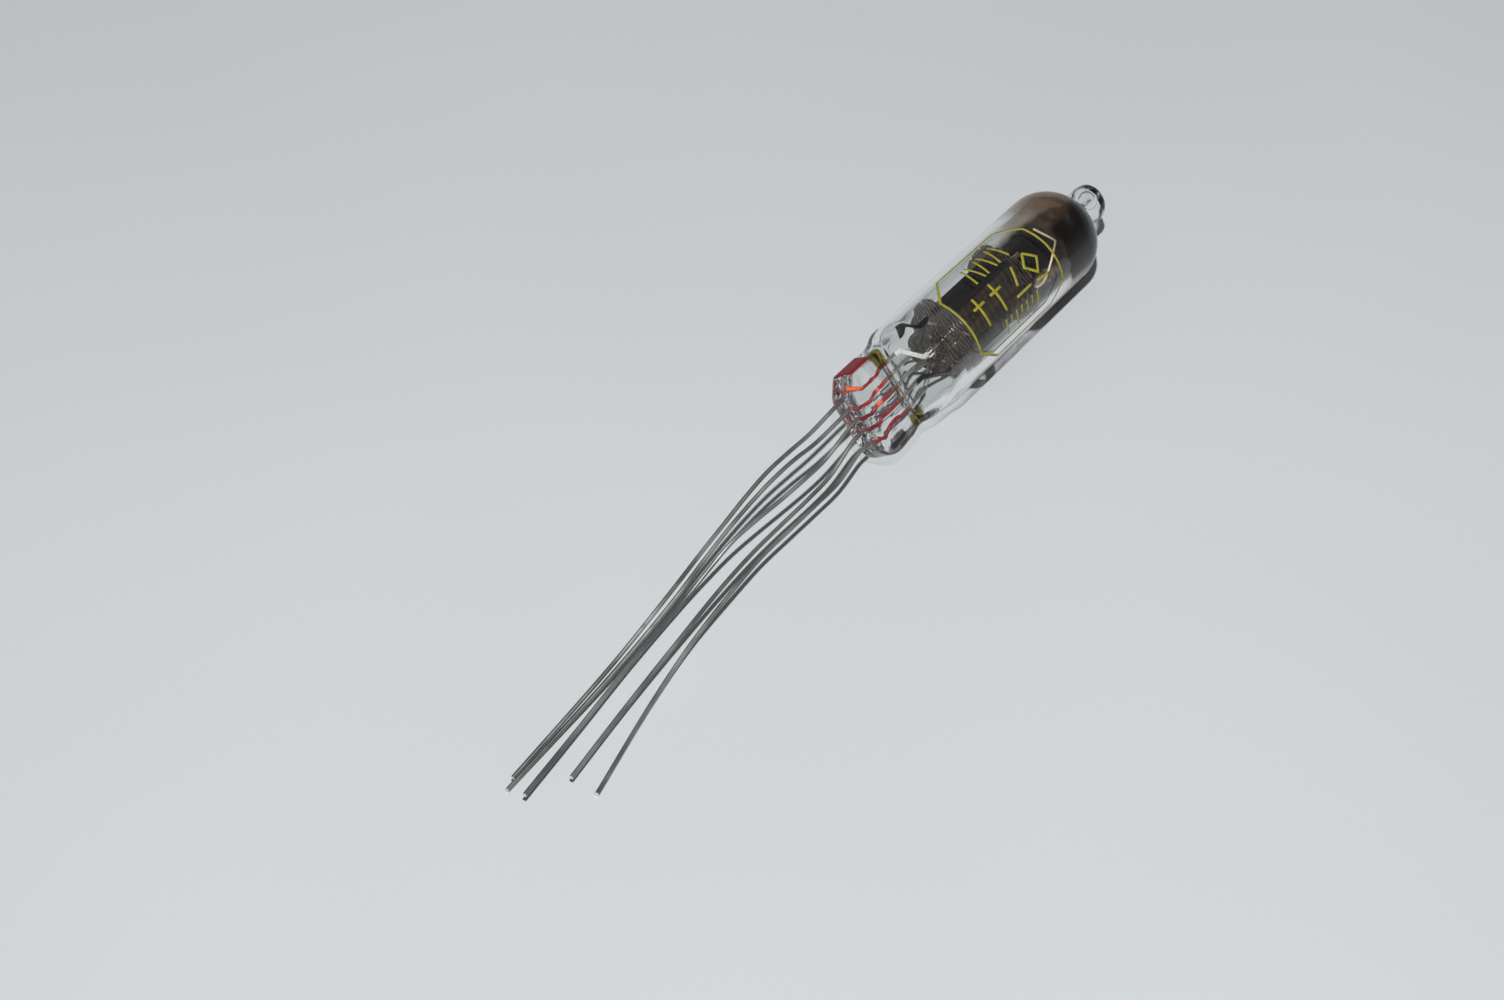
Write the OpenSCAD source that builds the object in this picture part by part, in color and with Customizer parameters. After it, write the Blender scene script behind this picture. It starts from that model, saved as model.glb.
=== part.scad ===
// Subminiature triode valve in a flat-press glass bulb with five flying leads.
// X runs along the bulb towards its exhaust tip and Z is up; the valve lies on its side.
// The origin is on the bulb's axis, at the middle of the straight glass wall.

/* [Bulb] */
// Outside diameter of the bulb
bulb_d = 10.16; // [9.8:0.02:10.2]
// Thickness of the bulb's glass
glass_wall = 0.85; // [0.7:0.05:0.9]
// Length of the straight wall
wall_len = 22; // [20:0.5:26]
// Height of the domed end
dome_h = 4.6; // [4:0.1:5]
// Length of the shoulder between the bulb and the press
shoulder_len = 5; // [4.5:0.25:6]

/* [Exhaust tip] */
// Radius of the tip's neck
tip_neck_r = 1.45; // [1.2:0.05:1.6]
// Radius of the tip's rounded head
tip_head_r = 2; // [1.8:0.05:2.2]
// Length of the tip beyond the dome
tip_len = 4.25; // [3.75:0.05:4.5]
// Radius of the closed bore at the root of the tip
tip_bore_r = 0.55; // [0.3:0.05:0.7]

/* [Press] */
// Thickness of the flat glass press
press_t = 3.2; // [2.8:0.1:3.6]
// Length of the press
press_len = 5.9; // [5.7:0.1:7]
// Roll of the press and the electrodes about the bulb's axis
roll = 50; // [40:1:60]
// Length of the corner cut from the press beside the first lead
corner_cut = 1.9; // [1.5:0.1:2.3]
// Radius of the rounded lobe beside the last lead
lobe_r = 2.55; // [2.3:0.05:2.6]
// How far the lobe reaches past the end of the press
lobe_reach = 0.85; // [0.5:0.05:1]
// Depth of the hollow bulb inside the shoulder
hollow_in_shoulder = 5.2; // [4.8:0.1:5.4]

/* [Leads] */
// Diameter of every lead and seal wire
lead_d = 0.406; // [0.36:0.002:0.42]
// Spacing of the leads in the press
lead_pitch = 1.219; // [1.15:0.001:1.25]
// Length of tinned lead inside the glass
lead_inset = 0.9; // [0.7:0.1:1.4]
// Straight run of each lead past the glass before its first bend
lead_root = 0.7; // [0.5:0.05:0.9]
// Clearance round a wire in its glass seal
seal_fit = 0.01; // [0.005:0.005:0.02]

/* [Mica spacers] */
// Thickness of a mica spacer
mica_t = 0.2; // [0.15:0.05:0.3]
// Clearance between a spacer's rim and the glass
mica_fit = 0.05; // [0.03:0.01:0.1]
// Distance from the middle of the bulb to the lower spacer
lower_mica = 8.1; // [7.7:0.1:8.3]
// Distance between the two spacers
cage_len = 10.1; // [9.8:0.1:10.5]
// Clearance of a hole in a spacer
hole_fit = 0.03; // [0.02:0.01:0.05]
// Number of scallops round a spacer's rim
scallops = 14; // [10:1:16]

/* [Anode] */
// Thickness of the anode's sheet metal
sheet_t = 0.14; // [0.1:0.01:0.16]
// Width of the anode's box
anode_w = 4.5; // [4.3:0.05:4.6]
// Depth of the anode's box, face to face
anode_depth = 6; // [5.6:0.1:6.2]
// Depth of the pressed grooves along the anode
groove_depth = 0.15; // [0.08:0.01:0.2]
// Distance of each anode rod from the axis
anode_rod_y = 2.7; // [2.65:0.01:2.8]
// Width of the flat lip beyond each rod
anode_lip = 0.15; // [0.1:0.01:0.3]
// Radius of an anode rod
anode_rod_r = 0.2; // [0.16:0.01:0.22]

/* [Grid] */
// Distance of each grid rod from the axis
grid_rod_y = 1.15; // [1.1:0.01:1.2]
// Radius of a grid rod
grid_rod_r = 0.22; // [0.18:0.01:0.24]
// Radius of the grid's winding wire
grid_wire_r = 0.04; // [0.03:0.005:0.05]
// Depth of the oval winding from its middle
grid_depth = 0.85; // [0.8:0.01:0.95]
// Number of turns in the winding
grid_turns = 17; // [14:1:18]

/* [Cathode and heater] */
// Outside radius of the cathode sleeve
cathode_r = 0.55; // [0.52:0.01:0.56]
// Thickness of the sleeve
sleeve_t = 0.08; // [0.05:0.01:0.1]
// Thickness of the oxide coating
coating_t = 0.06; // [0.03:0.01:0.08]
// Radius of the insulated heater wire
heater_r = 0.12; // [0.1:0.01:0.13]
// Distance of each heater leg from the axis
heater_leg_y = 0.2; // [0.18:0.01:0.22]

/* [Straps] */
// Thickness of the nickel strap
strap_t = 0.12; // [0.08:0.01:0.14]
// Width of a strap
strap_w = 0.5; // [0.4:0.05:0.55]
// Clearance left at a weld
weld_gap = 0.02; // [0.01:0.005:0.03]

/* [Getter] */
// Thickness of the getter film in the dome
film_t = 0.04; // [0.03:0.01:0.06]
// Clearance between the film and the glass
film_gap = 0.02; // [0.01:0.01:0.03]
// Length of the film along the straight wall
film_skirt = 5.4; // [4:0.1:6]
// Length of each step of the getter's support wire
getter_step = 1.2; // [1:0.05:1.3]
// Length of the bend back at the wire's end
getter_hook = 1.3; // [1:0.1:1.5]
// Radius of the getter's support wire
getter_wire_r = 0.15; // [0.12:0.01:0.17]
// Length of the getter's trough
trough_len = 2.6; // [2:0.1:3]
// Width of the trough
trough_w = 0.7; // [0.5:0.05:0.8]
// Height of the trough's sides
trough_h = 0.5; // [0.4:0.05:0.55]

/* [Hidden] */
$fn = 48;
lead_count = 5;
leads = [1:lead_count];

bulb_r = bulb_d / 2;
inner_r = bulb_r - glass_wall;
lead_r = lead_d / 2;
x_dome = wall_len / 2;
x_apex = x_dome + dome_h;
x_shoulder = -wall_len / 2;
x_press = x_shoulder - shoulder_len;
x_exit = x_press - press_len;
x_lobe = x_exit - lobe_reach;
x_hollow = x_shoulder - hollow_in_shoulder;
x_seal = x_exit + lead_inset;
x_low = -lower_mica;
x_low_face = x_low + mica_t;
x_top = x_low + cage_len;
x_top_face = x_top + mica_t;
mica_r = inner_r - mica_fit;
past = 1;                      // how far a cutting solid runs past what it cuts
mouth_r = tip_bore_r + 0.15;   // edge of the film round the tip's bore
film_r = inner_r - film_gap;

// Half heights of the hollow and of the press at their closed ends, and their narrower widths
hollow_end_h = 0.8;
hollow_end_y = 3.5;            // half width of the hollow's flat end
hollow_flare = 2;              // length over which it reaches the full bore
press_r = bulb_r - 0.3;        // radius that rounds off the edges of the press
neck_y = bulb_r - 0.78;        // half width of the neck beside the lobe
shoulder_rise = 0.15;
ease_lead = 0.35;              // offset that keeps one taper's steps off another's

// Axial ends of the electrodes, from the spacer that each passes
anode_clear = 0.08;
anode_rod_low = x_low - 1.9;
anode_rod_high = x_top_face + 0.8;
grid_rod_low = x_low - 2.5;
grid_rod_high = x_top_face + 4;
sleeve_low = x_low - 1.5;
sleeve_high = x_top_face + 1.1;
coating_inset = 0.7;
heater_low = sleeve_low - 1.6;
heater_high = sleeve_high - 0.8;
winding_inset = 0.9;

// Inner ends of the leads, from the top of the seal, and the planes of the welded straps
tail_x = [for (t = [3, 3.8, 4.2, 3.6, 3.6]) x_hollow + t];
weld_len = 1;
strap_z = max(lead_r, anode_rod_r, grid_rod_r) + weld_gap;

// Routes of the leads outside the glass: distance past the press, offset across, height
routes = [
  [[5.22, 1.67, 6.3], [8.22, 1.79, 6.25], [11.22, 1.9, 6.1], [14.22, 1.91, 5.55], [17.72, 1.77, 4.85],
   [21.22, 1.38, 4.65], [27.21, 0.76, 4.05], [35.21, 0.41, 2.6], [48.66, 0.11, 0.8]],
  [[5.21, 0.97, 5.55], [8.22, 1.19, 5.6], [11.22, 1.4, 5.3], [14.22, 1.51, 4.75], [17.72, 1.42, 4.2],
   [21.22, 1.13, 3.75], [27.21, 0.76, 2.55], [35.21, 0.51, 1.25], [49.6, -0.06, 0.25]],
  [[5.2, -0.08, 3.95], [8.2, -0.01, 3.8], [11.2, 0.25, 3.55], [14.71, 0.51, 3.5], [18.21, 0.72, 3.3],
   [21.71, 0.92, 2.1], [25.21, 0.93, 1.1], [33.2, 0.14, 1], [41.99, -1.04, 1.06],
   [49.58, -2.01, 1.1]],
  [[5.69, -1.14, 3], [9.19, -1.13, 2.65], [13.19, -0.97, 2.35], [17.19, -1.02, 2.35],
   [22.19, -1.28, 2.15], [29.18, -1.76, 1.4], [37.17, -2.56, 0.9], [45.71, -3.76, 0.85]],
  [[5.68, -2.04, 2.6], [9.18, -2.03, 2.5], [13.18, -1.92, 2.3], [17.18, -1.87, 2.2],
   [22.18, -2.13, 1.75], [28.17, -2.55, 0.9], [35.16, -3.74, 0.35], [45.38, -6.21, 0.21]]];
bend_t = 0.65;       // length taken by half a bend
bend_steps = 2;
wire_sides = 10;
wire_slim = 0.98;    // a formed stretch lies just inside the round straight stretch it joins
wire_lap = 0.3;

function unit(v) = v / norm(v);
function turn(u, v) = acos(max(-1, min(1, u * v)));
function flip(p) = [for (i = [len(p) - 1:-1:0]) p[i]];
function mirror_y(p) = [for (q = p) [-q.x, q.y]];
function lead_y(i) = lead_pitch * ((lead_count + 1) / 2 - i);
function rolled(y) = [y * cos(roll), y * sin(roll)];

// A corner of a route, turned into a short arc of points
function corner(p, i, t) =
  let (u = unit(p[i] - p[i - 1]), v = unit(p[i + 1] - p[i]), a = turn(u, v))
  a < 0.5 ? [p[i]] :
  let (big = t / tan(a / 2), n = unit(v - (u * v) * u), c = p[i] - t * u + big * n)
  [for (j = [0:bend_steps])
    c - big * cos(a * j / bend_steps) * n + big * sin(a * j / bend_steps) * u];
function bent(p, t) =
  concat([p[0]], [for (i = [1:len(p) - 2]) each corner(p, i, t)], [p[len(p) - 1]]);
function along(q, i) =
  let (ahead = i < len(q) - 1 ? unit(q[i + 1] - q[i]) : [0, 0, 0],
       behind = i > 0 ? unit(q[i] - q[i - 1]) : [0, 0, 0])
  unit(ahead + behind);

// Outline of a strip of thickness t that follows the points p
function perp(v) = [-v.y, v.x];
function mitre(p, i) =
  let (last = len(p) - 1,
       a = i > 0 ? unit(p[i] - p[i - 1]) : unit(p[1] - p[0]),
       b = i < last ? unit(p[i + 1] - p[i]) : a,
       m = unit(perp(a) + perp(b)))
  m / (m * perp(b));
function strip(p, t) =
  concat([for (i = [0:len(p) - 1]) p[i] + t / 2 * mitre(p, i)],
         flip([for (i = [0:len(p) - 1]) p[i] - t / 2 * mitre(p, i)]));

// Curve that eases from height a to height b between x0 and x1
ease_steps = 14;
function ease(x0, x1, a, b) =
  [for (i = [0:ease_steps])
    let (u = i / ease_steps) [x0 + u * (x1 - x0), a + (b - a) * (1 - cos(180 * u)) / 2]];

// Dome of radius r and height h, as radius and x, from its rim up to the radius stop_r
dome_steps = 14;
function dome(r, h, stop_r) =
  [for (i = [0:dome_steps])
    let (a = acos(stop_r / r) * i / dome_steps) [r * cos(a), x_dome + h * sin(a)]];

module revolve_x(points) {
  rotate([0, 90, 0]) rotate_extrude() polygon(points);
}

// Extrudes a section drawn across the axis, with Y and Z as its own x and y
module section_x(x, len) {
  translate([x, 0, 0]) rotate([90, 0, 90]) linear_extrude(len) children();
}

// Extrudes a side view, drawn as x and z, by a width along Y
module side_view(width) {
  rotate([90, 0, 0]) linear_extrude(width, center = true) children();
}

module rod_x(x, y, z, len, r) {
  translate([x, y, z]) rotate([0, 90, 0]) cylinder(h = len, r = r);
}

// The press and everything inside the bulb share one roll about the axis
module cage() {
  rotate([roll, 0, 0]) children();
}

module straight(a, b, r) {
  d = b - a;
  translate(a) rotate([0, acos(d.z / norm(d)), atan2(d.y, d.x)]) cylinder(h = norm(d), r = r);
}

// Tube swept along points, closed at both ends
module sweep(q, r, sides, up = [0, 0.3, 0.95]) {
  n = len(q);
  points = [for (i = [0:n - 1])
    let (t = along(q, i), a = unit(cross(t, up)), b = cross(t, a))
    for (k = [0:sides - 1]) q[i] + r * (cos(360 * k / sides) * a + sin(360 * k / sides) * b)];
  start = [for (k = [0:sides - 1]) k];
  end = [for (k = [0:sides - 1]) n * sides - 1 - k];
  skin = [for (i = [0:n - 2]) for (k = [0:sides - 1])
    let (a = i * sides + k, b = i * sides + (k + 1) % sides)
    each [[a, a + sides, b], [b, a + sides, b + sides]]];
  polyhedron(points = points, faces = concat([start, end], skin));
}

// Formed wire: bends swept along the route, then a straight round end
module formed_wire(p, r) {
  n = len(p) - 1;
  d = unit(p[n] - p[n - 1]);
  last = p[n - 1] + bend_t * d;
  lap = concat([for (i = [0:n - 1]) p[i]], [last + wire_lap * d]);
  sweep(bent(lap, bend_t / 2), wire_slim * r, wire_sides);
  straight(last, p[n], r);
}

// Glass
module glass_solid() {
  head_mid = x_apex + tip_len - 1.6;
  head_start = -acos(tip_neck_r / tip_head_r);
  head_steps = 12;
  head = [for (i = [0:head_steps])
    let (a = head_start + (90 - head_start) * i / head_steps)
    [tip_head_r * cos(a), head_mid + (x_apex + tip_len - head_mid) * sin(a)]];
  revolve_x(concat(
    [[0, x_lobe - past], [press_r, x_lobe - past]],
    [for (q = ease(x_press + ease_lead, x_shoulder, press_r, bulb_r)) [q.y, q.x]],
    dome(bulb_r, dome_h, tip_neck_r + 0.45),
    [[tip_neck_r + 0.12, x_apex - 0.05], [tip_neck_r, x_apex + 0.4]],
    head));
}

// Side view that leaves the bulb whole and squeezes the glass to the press
module squeeze(end_x, end_h, start_x, start_h) {
  curve = ease(end_x, start_x, end_h, start_h + shoulder_rise);
  tall = bulb_r + past;
  upper = concat([[x_lobe - 2 * past, end_h]], curve, [[start_x, tall], [x_apex + tip_len + past, tall]]);
  polygon(concat(upper, flip([for (q = upper) [q.x, -q.y]])));
}

// Plan of the press: one corner cut, one lobe, and the bulb's full width beyond
module press_plan() {
  half = bulb_r + past;
  shoulder_y = bulb_r - 0.38;
  neck_back = 0.6;
  lobe_y = bulb_r - 0.28 - lobe_r;
  translate([0, 0, -2 * bulb_r]) linear_extrude(4 * bulb_r)
    polygon([[x_exit, -lobe_y], [x_exit, shoulder_y - corner_cut], [x_exit + corner_cut, shoulder_y],
             [x_press, shoulder_y], [x_shoulder, half], [x_apex + tip_len + past, half],
             [x_apex + tip_len + past, -half], [x_shoulder, -half], [x_press - neck_back, -neck_y],
             [x_exit + lobe_r + past, -shoulder_y]]);
  translate([x_lobe + lobe_r, -lobe_y, -2 * bulb_r]) cylinder(h = 4 * bulb_r, r = lobe_r);
}

module hollow() {
  bore_end = x_apex + 2.1;
  intersection() {
    revolve_x(concat(
      [[0, x_hollow], [hollow_end_y, x_hollow], [inner_r, x_hollow + hollow_flare]],
      dome(inner_r, dome_h - glass_wall, tip_bore_r),
      [[tip_bore_r * 0.8, x_apex + 0.4], [tip_bore_r * 0.5, bore_end - 0.4], [0, bore_end]]));
    cage() side_view(4 * bulb_r) squeeze(x_hollow - ease_lead, hollow_end_h, x_shoulder, inner_r);
  }
}

module glass_envelope() {
  color([0.85, 0.9, 0.92, 0.35])
  difference() {
    intersection() {
      glass_solid();
      cage() side_view(4 * bulb_r) squeeze(x_press, press_t / 2, x_shoulder, bulb_r);
      cage() union() {
        press_plan();
      }
    }
    hollow();
    cage() for (i = leads)
      rod_x(x_lobe - past, lead_y(i), 0, x_hollow - x_lobe + past + seal_fit, lead_r + seal_fit);
  }
}

// Getter
module getter_flash() {
  outer = dome(film_r, dome_h - glass_wall - film_gap, mouth_r);
  inner = dome(film_r - film_t, dome_h - glass_wall - film_gap - film_t, mouth_r);
  start = x_dome - film_skirt;
  color([0.12, 0.09, 0.07])
  revolve_x(concat([[film_r, start]], outer, flip(inner), [[film_r - film_t, start]]));
}

module getter_wire() {
  foot_y = -(anode_rod_y - anode_rod_r - getter_wire_r - 2.5 * weld_gap);
  z = trough_w / 2 + getter_wire_r + weld_gap;
  crest = x_dome - 0.4;
  color("gainsboro") cage() formed_wire([
    [x_top_face + 0.1, foot_y, 0], [x_top_face + getter_step, foot_y, z / 2],
    [x_top_face + 2.2 * getter_step, foot_y, z], [x_top_face + 3.9 * getter_step, foot_y - 0.4, z],
    [crest + 0.3, -0.4, z], [crest - getter_hook, 2, z]], getter_wire_r);
}

// Open trough that held the getter, facing the dome
module getter_trough() {
  x = x_dome + 0.3;
  color("dimgray") cage() difference() {
    translate([x - trough_h, -trough_len / 2, -trough_w / 2]) cube([trough_h, trough_len, trough_w]);
    translate([x - trough_h + sheet_t, sheet_t - trough_len / 2, sheet_t - trough_w / 2])
      cube([trough_h, trough_len - 2 * sheet_t, trough_w - 2 * sheet_t]);
  }
}

// Mica spacers
module spacer(x) {
  color([0.62, 0.56, 0.48]) cage() section_x(x, mica_t) difference() {
    circle(mica_r);
    for (i = [1:scallops]) rotate(360 * i / scallops) translate([mica_r + 0.12, 0]) circle(0.32);
    circle(cathode_r + hole_fit);
    for (s = [-1, 1]) {
      translate([s * anode_rod_y, 0]) circle(anode_rod_r + hole_fit);
      translate([s * grid_rod_y, 0]) circle(grid_rod_r + hole_fit);
    }
  }
}

module top_mica() {
  spacer(x_top);
}

module bottom_mica() {
  spacer(x_low);
}

// Anode: two pressed halves that grip the rods in half-round channels
module anode_half() {
  seam = sheet_t / 2 + weld_gap;
  grip = anode_rod_r + weld_gap + sheet_t / 2;
  grip_a = asin(seam / grip);
  grip_steps = 6;
  box_y = anode_w / 2;
  face_z = anode_depth / 2 - sheet_t / 2;
  side = concat(
    [[anode_rod_y + grip + anode_lip, seam]],
    [for (i = [0:grip_steps])
      let (a = grip_a + (180 - 2 * grip_a) * i / grip_steps)
      [anode_rod_y + grip * cos(a), grip * sin(a)]],
    [[box_y + 0.06, seam], [box_y - 0.04, seam + 0.15], [box_y - 0.12, face_z - 0.3], [box_y - 0.4, face_z],
     [1, face_z], [0.9, face_z - groove_depth], [0.5, face_z - groove_depth], [0.4, face_z]]);
  color([0.13, 0.12, 0.12]) section_x(x_low_face + anode_clear, cage_len - mica_t - 2 * anode_clear)
    polygon(strip(concat(side, flip(mirror_y(side))), sheet_t));
}

module anode_front() {
  cage() anode_half();
}

module anode_back() {
  cage() mirror([0, 0, 1]) anode_half();
}

module anode_rod(side) {
  low = side > 0 ? anode_rod_low : x_low - 1.3;
  color("silver") cage() rod_x(low, side * anode_rod_y, 0, anode_rod_high - low, anode_rod_r);
}

module anode_rod_1() {
  anode_rod(1);
}

module anode_rod_2() {
  anode_rod(-1);
}

// Cathode and heater
module cathode_sleeve() {
  color("lightgray") cage() difference() {
    rod_x(sleeve_low, 0, 0, sleeve_high - sleeve_low, cathode_r);
    rod_x(sleeve_low - past, 0, 0, sleeve_high - sleeve_low + 2 * past, cathode_r - sleeve_t);
  }
}

module cathode_coating() {
  start = x_low_face + coating_inset;
  len = x_top - x_low_face - 2 * coating_inset;
  bore = cathode_r + seal_fit;
  color("white") cage() difference() {
    rod_x(start, 0, 0, len, bore + coating_t);
    rod_x(start - past, 0, 0, len + 2 * past, bore);
  }
}

module heater() {
  turn_steps = 8;
  top = [for (i = [0:turn_steps])
    let (a = 180 * i / turn_steps)
    [heater_high + heater_leg_y * sin(a), heater_leg_y * cos(a), 0]];
  path = concat([[heater_low, heater_leg_y, 0]], top, [[heater_low, -heater_leg_y, 0]]);
  color("whitesmoke") cage() sweep(path, heater_r, 8, [0, 0, 1]);
}

// Grid
module grid_rod(side, low) {
  color("rosybrown") cage() rod_x(low, side * grid_rod_y, 0, grid_rod_high - low, grid_rod_r);
}

module grid_rod_1() {
  grid_rod(1, x_low - 0.7);
}

module grid_rod_2() {
  grid_rod(-1, grid_rod_low);
}

// Oval winding that passes just outside the rods, as one unbroken wire
module grid_winding() {
  rings = 16;
  width = grid_rod_y + grid_rod_r + grid_wire_r + 2 * weld_gap;
  start = x_low_face + winding_inset;
  pitch = (x_top - x_low_face - 2 * winding_inset) / grid_turns;
  path = [for (i = [0:rings * grid_turns])
    let (a = 360 * i / rings) [start + pitch * i / rings, width * cos(a), grid_depth * sin(a)]];
  echo(least_gap_between_turns = pitch - 2 * grid_wire_r);
  color("tan") cage() sweep(path, grid_wire_r, 4, [1, 0, 0]);
}

// Nickel straps, flat against the wires that they join, in front of them or behind
module flat_strap(p, width = strap_w, side = 1) {
  z = side > 0 ? strap_z : -strap_z - strap_t;
  color("gainsboro") cage()
    translate([0, 0, z]) linear_extrude(strap_t) polygon(strip(p, width));
}

// Bent tab that closes the lower end of the first anode rod
module anode_hook() {
  y = anode_rod_y;
  out = inner_r - 0.3 - strap_w / 2;
  flat_strap([[x_low - 4.5, out], [x_low - 3.6, out], [x_low - 2.7, out - 0.5],
              [x_low - 1.8, y + 0.1], [x_low - 0.4, y]]);
}

// Dark tab across to the second anode rod
module anode_strap() {
  y = lead_y(4);
  flat_strap([[tail_x[3] - weld_len, y], [tail_x[3], y], [x_low - 1.7, -anode_rod_y],
              [x_low - 0.4, -anode_rod_y]]);
}

module heater_strap(side, i) {
  y = lead_y(i);
  leg_y = side * (heater_leg_y + 0.12);
  flat_strap([[tail_x[i - 1] - weld_len, y], [tail_x[i - 1] - 0.2, y], [heater_low + 0.2, leg_y],
              [heater_low + 0.8, leg_y]]);
}

module heater_strap_1() {
  heater_strap(1, 1);
}

module heater_strap_2() {
  heater_strap(-1, 3);
}

// Narrow strap from the second lead to the side of the sleeve
module cathode_strap() {
  width = 0.3;
  y = cathode_r + weld_gap + width / 2;
  flat_strap([[tail_x[1] - weld_len, lead_y(2)], [tail_x[1], lead_y(2)], [sleeve_low + 0.1, y],
              [x_low - 0.4, y]], width, -1);
}

module grid_strap() {
  y = lead_y(lead_count);
  flat_strap([[tail_x[4] - weld_len, y], [tail_x[4], y], [grid_rod_low + 0.1, -grid_rod_y],
              [x_low - 0.4, -grid_rod_y]], strap_w, -1);
}

// Each lead is three wires end to end: nickel in the vacuum, a seal wire, a tinned lead
module inner_lead(i) {
  color("silver") cage() rod_x(x_hollow, lead_y(i), 0, tail_x[i - 1] - x_hollow, lead_r);
}

module seal_wire(i) {
  color("orangered") cage() rod_x(x_seal, lead_y(i), 0, x_hollow - x_seal, lead_r);
}

module lead(i) {
  y = rolled(lead_y(i));
  x_root = (i > 3 ? x_lobe : x_exit) - lead_root;
  outside = [for (q = routes[i - 1]) [x_exit - q.x, q.y, q.z - bulb_r]];
  color("lightslategray") {
    formed_wire(concat([[x_root + 0.4, y.x, y.y], [x_root, y.x, y.y]], outside), lead_r);
    straight([x_root + 0.3, y.x, y.y], [x_seal, y.x, y.y], lead_r);
  }
}

glass_envelope();
getter_flash();
getter_wire();
getter_trough();
top_mica();
bottom_mica();
anode_front();
anode_back();
anode_rod_1();
anode_rod_2();
cathode_sleeve();
cathode_coating();
heater();
grid_rod_1();
grid_rod_2();
grid_winding();
anode_hook();
anode_strap();
heater_strap_1();
heater_strap_2();
cathode_strap();
grid_strap();
for (i = leads) {
  inner_lead(i);
  seal_wire(i);
  lead(i);
}
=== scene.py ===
import math
from contextlib import contextmanager

import bmesh
import bpy
from mathutils import Matrix, Vector, noise


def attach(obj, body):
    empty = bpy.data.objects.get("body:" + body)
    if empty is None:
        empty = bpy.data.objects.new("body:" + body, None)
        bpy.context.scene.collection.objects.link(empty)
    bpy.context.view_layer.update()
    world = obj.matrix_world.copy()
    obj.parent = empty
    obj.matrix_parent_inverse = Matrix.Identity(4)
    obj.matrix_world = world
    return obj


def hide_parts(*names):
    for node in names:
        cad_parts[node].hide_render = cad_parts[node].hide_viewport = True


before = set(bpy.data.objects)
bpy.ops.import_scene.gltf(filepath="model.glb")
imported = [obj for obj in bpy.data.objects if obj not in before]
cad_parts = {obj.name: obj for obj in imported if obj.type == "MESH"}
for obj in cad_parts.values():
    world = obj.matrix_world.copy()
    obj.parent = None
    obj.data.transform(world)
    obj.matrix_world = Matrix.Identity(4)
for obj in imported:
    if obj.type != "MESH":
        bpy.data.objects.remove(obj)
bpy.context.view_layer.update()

bl_info = {
    "name": "Subminiature Valve",
    "version": (1, 0, 0),
    "blender": (4, 5, 0),
    "location": "View3D > Sidebar > Valve",
    "description": "Dresses a flat-press triode valve with its glass, wires, getter film and print",
    "category": "Object",
}

MM = 0.001


# Sizes and colours

def length(name, description, value, low=0.0):
    return bpy.props.FloatProperty(
        name=name, description=description, default=value * MM, min=low, unit="LENGTH", precision=5)


def number(name, description, value, low=0.0, high=10.0):
    return bpy.props.FloatProperty(
        name=name, description=description, default=value, min=low, max=high)


def colour(name, description, value):
    return bpy.props.FloatVectorProperty(
        name=name, description=description, default=value, size=3, min=0.0, max=1.0,
        subtype="COLOR")


class BulbSizes(bpy.types.PropertyGroup):
    radius: length("Bulb radius", "Outside radius of the glass bulb", 5.08)
    wall: length("Glass wall", "Thickness of the bulb's glass", 0.85)
    straight: length("Half of the straight wall", "From the origin to the start of the dome", 11)
    dome: length("Dome height", "Height of the domed end", 4.6)
    press_half: length("Half press", "Half of the press's thickness", 1.6)
    roll: bpy.props.FloatProperty(
        name="Roll of the press", description="Turn of the press and electrodes about the bulb's axis",
        default=math.radians(50), subtype="ANGLE")


class WireSizes(bpy.types.PropertyGroup):
    radius: length("Lead radius", "Radius of every lead and seal wire", 0.203)
    pitch: length("Lead spacing", "Spacing of the wires in the press", 1.219)
    datum: length("Lead datum", "From the origin to the plane that the leads' routes are measured from", 21.9)


class Finishes(bpy.types.PropertyGroup):
    tin: colour("Tinned wire", "Dull tinned outer leads", (0.30, 0.31, 0.295))
    seal: colour("Seal wire", "Copper-clad wire seen through the press", (0.36, 0.02, 0.02))
    nickel: colour("Nickel", "Straps, rods and inner leads", (0.62, 0.60, 0.56))
    carbon: colour("Carbonised sheet", "Blackened anode", (0.006, 0.005, 0.0045))
    mica: colour("Mica", "Sprayed mica spacers", (0.085, 0.065, 0.053))
    film: colour("Getter film", "Film inside the dome", (0.006, 0.0035, 0.0022))
    ink: colour("Marking ink", "Yellow frame and bars", (0.36, 0.32, 0.02))
    stripe: colour("Index stripe", "Red stripe beside the first lead", (0.23, 0.003, 0.010))
    # Olive tint of the glass round the hollow's end, on the near face: partly stain, partly a painted
    # reflection of the dark inside
    olive: colour("Olive band", "Stained glass round the hollow's end", (0.075, 0.052, 0.003))
    table: colour("Table", "Pale table under the valve", (0.612, 0.632, 0.645))


class StageSizes(bpy.types.PropertyGroup):
    lens: number("Lens", "Focal length of the camera in millimetres", 57.42, 20, 200)
    lamp: number("Lamp power", "Power of the small lamp beside the camera, in watts", 39, 0, 1000)
    sky: number("Sky level", "Strength of the plain world light on the table", 0.13, 0, 5)
    horizon: number("Horizon", "Strength of the low sky seen in gloss", 0.34, 0, 5)
    mirrored_sky: number("Mirrored sky", "Strength of the high sky seen in gloss", 0.12, 0, 5)
    seen_sky: number("Seen sky", "Strength of the sky seen through the glass", 0.2, 0, 5)


class ValveSettings(bpy.types.PropertyGroup):
    bulb: bpy.props.PointerProperty(type=BulbSizes)
    wires: bpy.props.PointerProperty(type=WireSizes)
    finishes: bpy.props.PointerProperty(type=Finishes)
    stage: bpy.props.PointerProperty(type=StageSizes)


def settings():
    return bpy.context.scene.valve


# Shader expressions

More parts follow.
